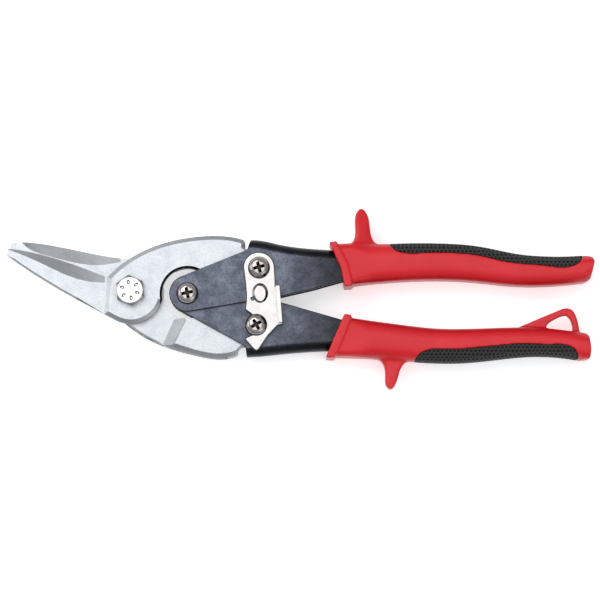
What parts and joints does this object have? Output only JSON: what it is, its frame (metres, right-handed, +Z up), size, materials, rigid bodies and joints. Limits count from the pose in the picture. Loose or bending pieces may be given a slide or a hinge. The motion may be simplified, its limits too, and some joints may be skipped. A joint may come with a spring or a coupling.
{
  "type": "aviation snips",
  "caption": "Compound-action hand snips for sheet metal: forged jaws, pressed handles, moulded grips with finger guards and a swinging safety latch.",
  "frame": {"origin": "on the main pivot's axis, at the end face of the pivot bolt and nut, where the tool rests on its back", "axes": "+X along the tool from the blades to the grips, +Y across it towards the upper handle, +Z up out of the face that carries the bolt head and the latch"},
  "size_m": [0.2498, 0.0767, 0.0227],
  "materials": {
    "forged_steel": "satin forged steel",
    "bright_plating": "bright nickel plating",
    "latch_plating": "bright nickel plating",
    "plain_steel": "turned steel",
    "spring_steel": "drawn spring wire",
    "black_oxide": "satin black",
    "red_plastic": "satin moulded plastic",
    "black_pad": "textured soft rubber"
  },
  "bodies": {
    "front_jaw": {"front_jaw": "forged_steel", "pivot_bolt": "bright_plating", "pivot_nut": "bright_plating"},
    "rear_jaw": {"rear_jaw": "forged_steel"},
    "upper_handle": {"upper_handle": "black_oxide", "nose_screw": "bright_plating", "nose_nut": "bright_plating", "nose_bush": "plain_steel", "upper_tail_screw": "bright_plating", "upper_tail_nut": "bright_plating", "upper_tail_bush": "plain_steel", "return_spring": "spring_steel", "upper_grip": "red_plastic", "upper_grip_pad": "black_pad"},
    "lower_handle": {"lower_handle": "black_oxide", "lower_tail_screw": "bright_plating", "lower_tail_nut": "bright_plating", "lower_tail_bush": "plain_steel", "keeper_collar": "plain_steel", "lower_grip": "red_plastic", "lower_grip_pad": "black_pad"},
    "latch": {"latch_plate": "latch_plating"}
  },
  "joints": [
    {"name": "jaw_pivot", "type": "hinge", "parent": "front_jaw", "child": "rear_jaw", "pos_m": [0, 0, 0.009], "axis": [0, 0, -1], "range_deg": [0, 16]},
    {"name": "upper_handle_hinge", "type": "hinge", "parent": "front_jaw", "child": "upper_handle", "pos_m": [0.05461, 0.0096, 0.009], "axis": [0, 0, 1], "range_deg": [0, 7.1]},
    {"name": "lower_handle_hinge", "type": "hinge", "parent": "rear_jaw", "child": "lower_handle", "pos_m": [0.05347, -0.01469, 0.009], "axis": [0, 0, -1], "range_deg": [0, 7.1]},
    {"name": "latch_swing", "type": "hinge", "parent": "upper_handle", "child": "latch", "pos_m": [0.05461, 0.0096, 0.0159], "axis": [0, 0, 1], "range_deg": [0, 45]}
  ],
  "couplings": [
    {"joint": "upper_handle_hinge", "follows": "jaw_pivot", "ratio": 0.44},
    {"joint": "lower_handle_hinge", "follows": "jaw_pivot", "ratio": 0.44},
    {"joint": "latch_swing", "follows": "jaw_pivot", "ratio": 2.75}
  ]
}
